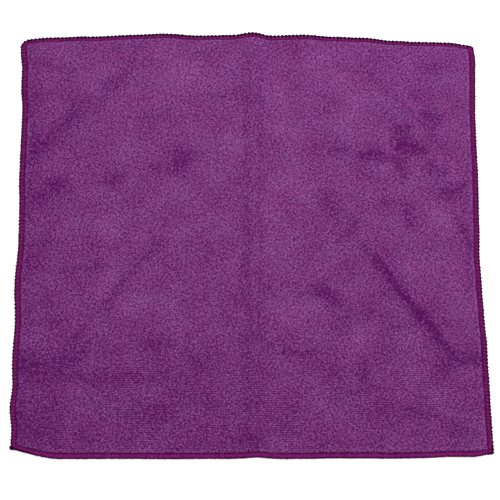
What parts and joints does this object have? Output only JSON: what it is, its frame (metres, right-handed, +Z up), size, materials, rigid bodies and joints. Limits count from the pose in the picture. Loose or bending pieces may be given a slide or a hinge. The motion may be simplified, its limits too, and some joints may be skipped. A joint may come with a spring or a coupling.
{
  "type": "quick dry towel",
  "caption": "Square microfibre terry towel with an overlocked edge, lying flat, that folds in half along its centre crease.",
  "frame": {"origin": "on the surface that the towel lies on, under the middle of the cloth", "axes": "+X to the right, +Y to the back edge, +Z up, away from the surface"},
  "size_m": [0.4, 0.4, 0.0028],
  "materials": {
    "microfibre_terry": "short purple terry pile, matt with a faint sheen",
    "overlock_thread": "magenta polyester overlock thread, satin"
  },
  "bodies": {
    "right_half": {"cloth_right_half": "microfibre_terry", "lower_looper_thread_right": "overlock_thread", "upper_looper_thread_right": "overlock_thread", "needle_thread_right": "overlock_thread"},
    "left_half": {"cloth_left_half": "microfibre_terry", "lower_looper_thread_left": "overlock_thread", "upper_looper_thread_left": "overlock_thread", "needle_thread_left": "overlock_thread", "thread_chain_tail": "overlock_thread"}
  },
  "joints": [
    {"name": "centre_fold", "type": "hinge", "parent": "right_half", "child": "left_half", "pos_m": [0, 0, 0.0045], "axis": [0, 1, 0], "range_deg": [0, 179.5]}
  ]
}
